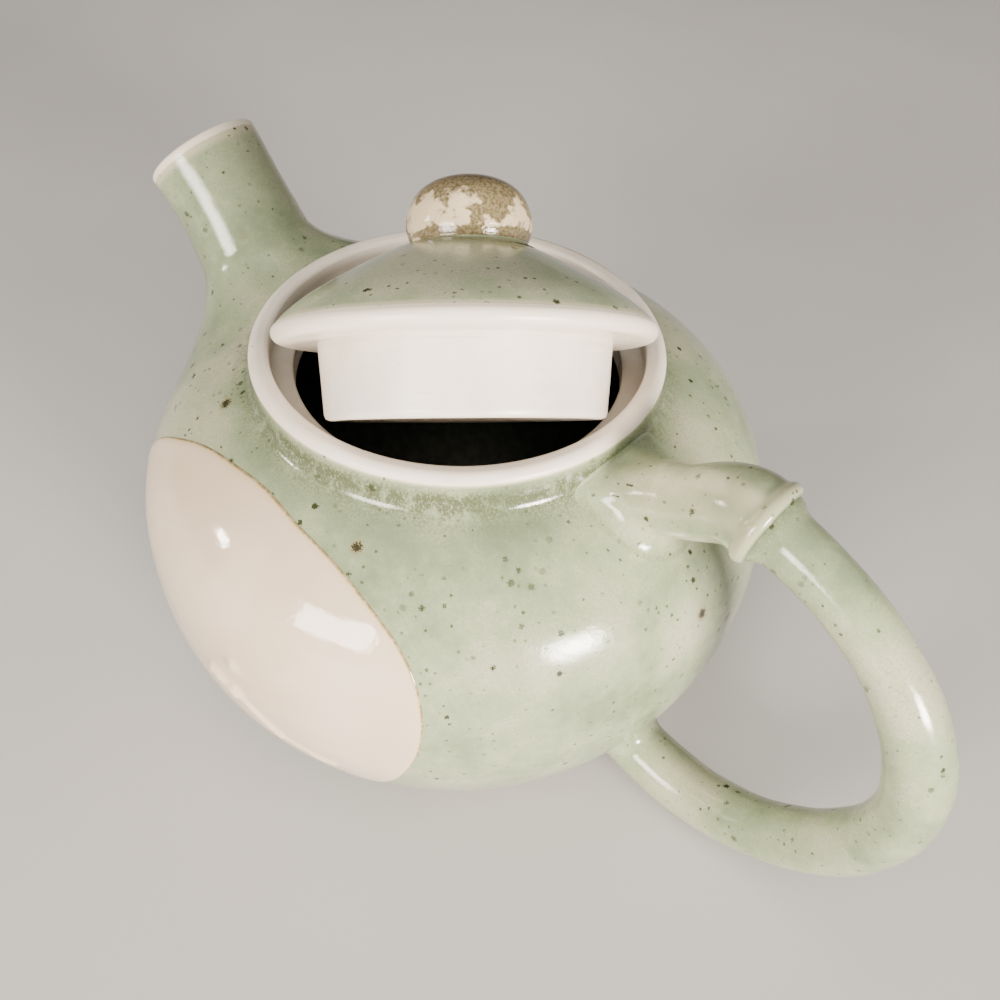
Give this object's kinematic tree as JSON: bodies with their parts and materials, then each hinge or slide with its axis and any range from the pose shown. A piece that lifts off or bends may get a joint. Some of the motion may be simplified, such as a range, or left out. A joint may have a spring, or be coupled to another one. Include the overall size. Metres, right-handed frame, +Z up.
{
  "type": "teapot",
  "caption": "Squat round stoneware teapot with a short upturned spout, a loop handle and a loose domed lid with a ball knob, lying tipped in the mouth.",
  "frame": {"origin": "centre of the foot ring's resting plane, on the axis of the pot", "axes": "+Z up along the axis of the pot, +X towards the handle, spout towards -X"},
  "size_m": [0.2039, 0.13, 0.1293],
  "materials": {
    "celadon_glaze": "glossy, speckled with iron",
    "ivory_glaze": "satin",
    "knob_glaze": "glossy, mottled",
    "bare_clay": "matte"
  },
  "bodies": {
    "pot": {"pot_body": "celadon_glaze", "foot_ring": "bare_clay", "gallery_collar": "ivory_glaze", "spout": "celadon_glaze", "handle_stub": "celadon_glaze", "handle_loop": "celadon_glaze"},
    "lid": {"lid_plate": "celadon_glaze", "lid_skirt": "ivory_glaze", "lid_knob": "knob_glaze"}
  },
  "joints": [
    {"name": "lid_lift", "type": "slide", "parent": "pot", "child": "lid", "axis": [0, 0, 1], "range_m": [0, 0.06]}
  ]
}
